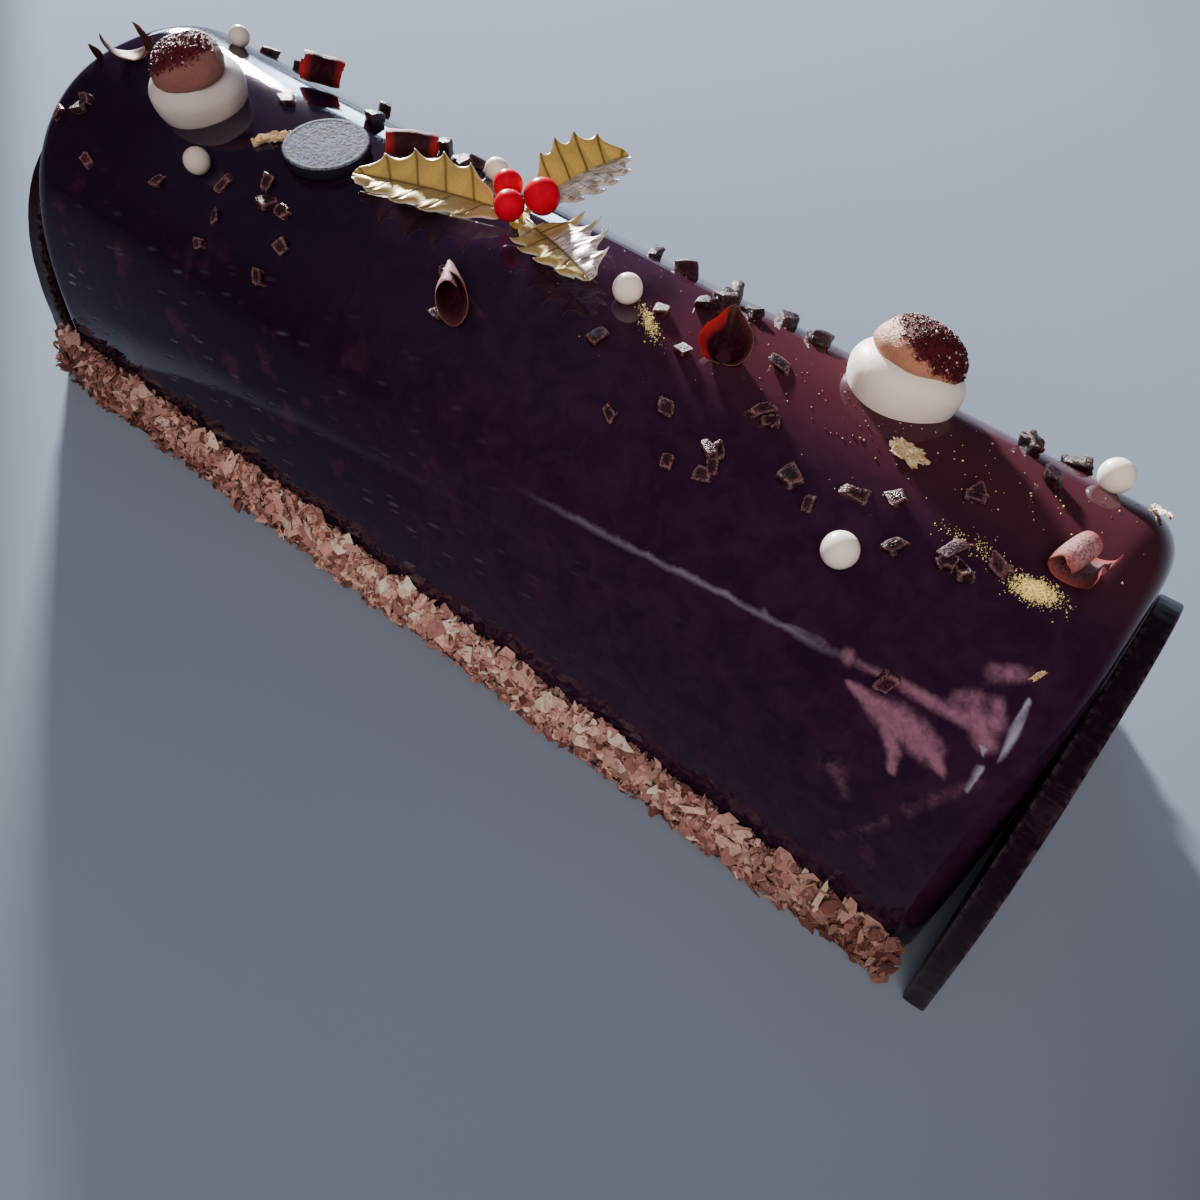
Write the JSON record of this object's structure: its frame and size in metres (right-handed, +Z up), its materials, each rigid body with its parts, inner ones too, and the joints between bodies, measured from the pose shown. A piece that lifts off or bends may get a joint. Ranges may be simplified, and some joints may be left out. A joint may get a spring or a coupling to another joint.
{
  "type": "yule log cake",
  "caption": "Gutter-shaped glazed chocolate log cake with a chocolate plaque at each end, wafer flake borders and holly, mushroom, pearl and curl toppings.",
  "frame": {"origin": "under the middle of the cake, on the surface it rests on", "axes": "+X along the log towards its right end, +Y towards its far side, +Z up"},
  "size_m": [0.2652, 0.0918, 0.0891],
  "materials": {
    "glaze": "mirror-gloss dark chocolate glaze, near black with a burgundy tone",
    "dark_chocolate": "set dark chocolate, satin, finely scratched",
    "wafer_flakes": "crisp pink-brown wafer flakes, dry and matte",
    "meringue": "smooth cream-white meringue, faintly satin",
    "baked_cap": "baked tan-brown meringue dusted with cocoa grains",
    "sugar_pearl": "cream sugar pearl, fine grain, satin",
    "disc_chocolate": "dark chocolate disc with a grained blank top",
    "holly_gold": "gold holly decoration, shiny spiny rims over a yellow blade",
    "berry_red": "glossy red berry",
    "curl_chocolate": "thin chocolate curl with a red-brown glow at its edges"
  },
  "bodies": {
    "root": {"log": "glaze", "end_plaque_left": "dark_chocolate", "end_plaque_right": "dark_chocolate", "flake_border_front": "wafer_flakes", "flake_border_back": "wafer_flakes", "mushroom_base_left": "meringue", "mushroom_base_right": "meringue", "mushroom_cap_left": "baked_cap", "mushroom_cap_right": "baked_cap", "chocolate_disc": "disc_chocolate", "holly_hub": "holly_gold", "holly_leaf_left": "holly_gold", "holly_leaf_back": "holly_gold", "holly_leaf_right": "holly_gold", "holly_berry_1": "berry_red", "holly_berry_2": "berry_red", "holly_berry_3": "berry_red", "pearl_1": "sugar_pearl", "pearl_2": "sugar_pearl", "pearl_3": "sugar_pearl", "pearl_4": "sugar_pearl", "pearl_5": "sugar_pearl", "pearl_6": "sugar_pearl", "curl_1": "curl_chocolate", "curl_2": "curl_chocolate", "curl_3": "curl_chocolate", "curl_4": "curl_chocolate", "curl_5": "curl_chocolate", "curl_6": "curl_chocolate"}
  },
  "joints": []
}
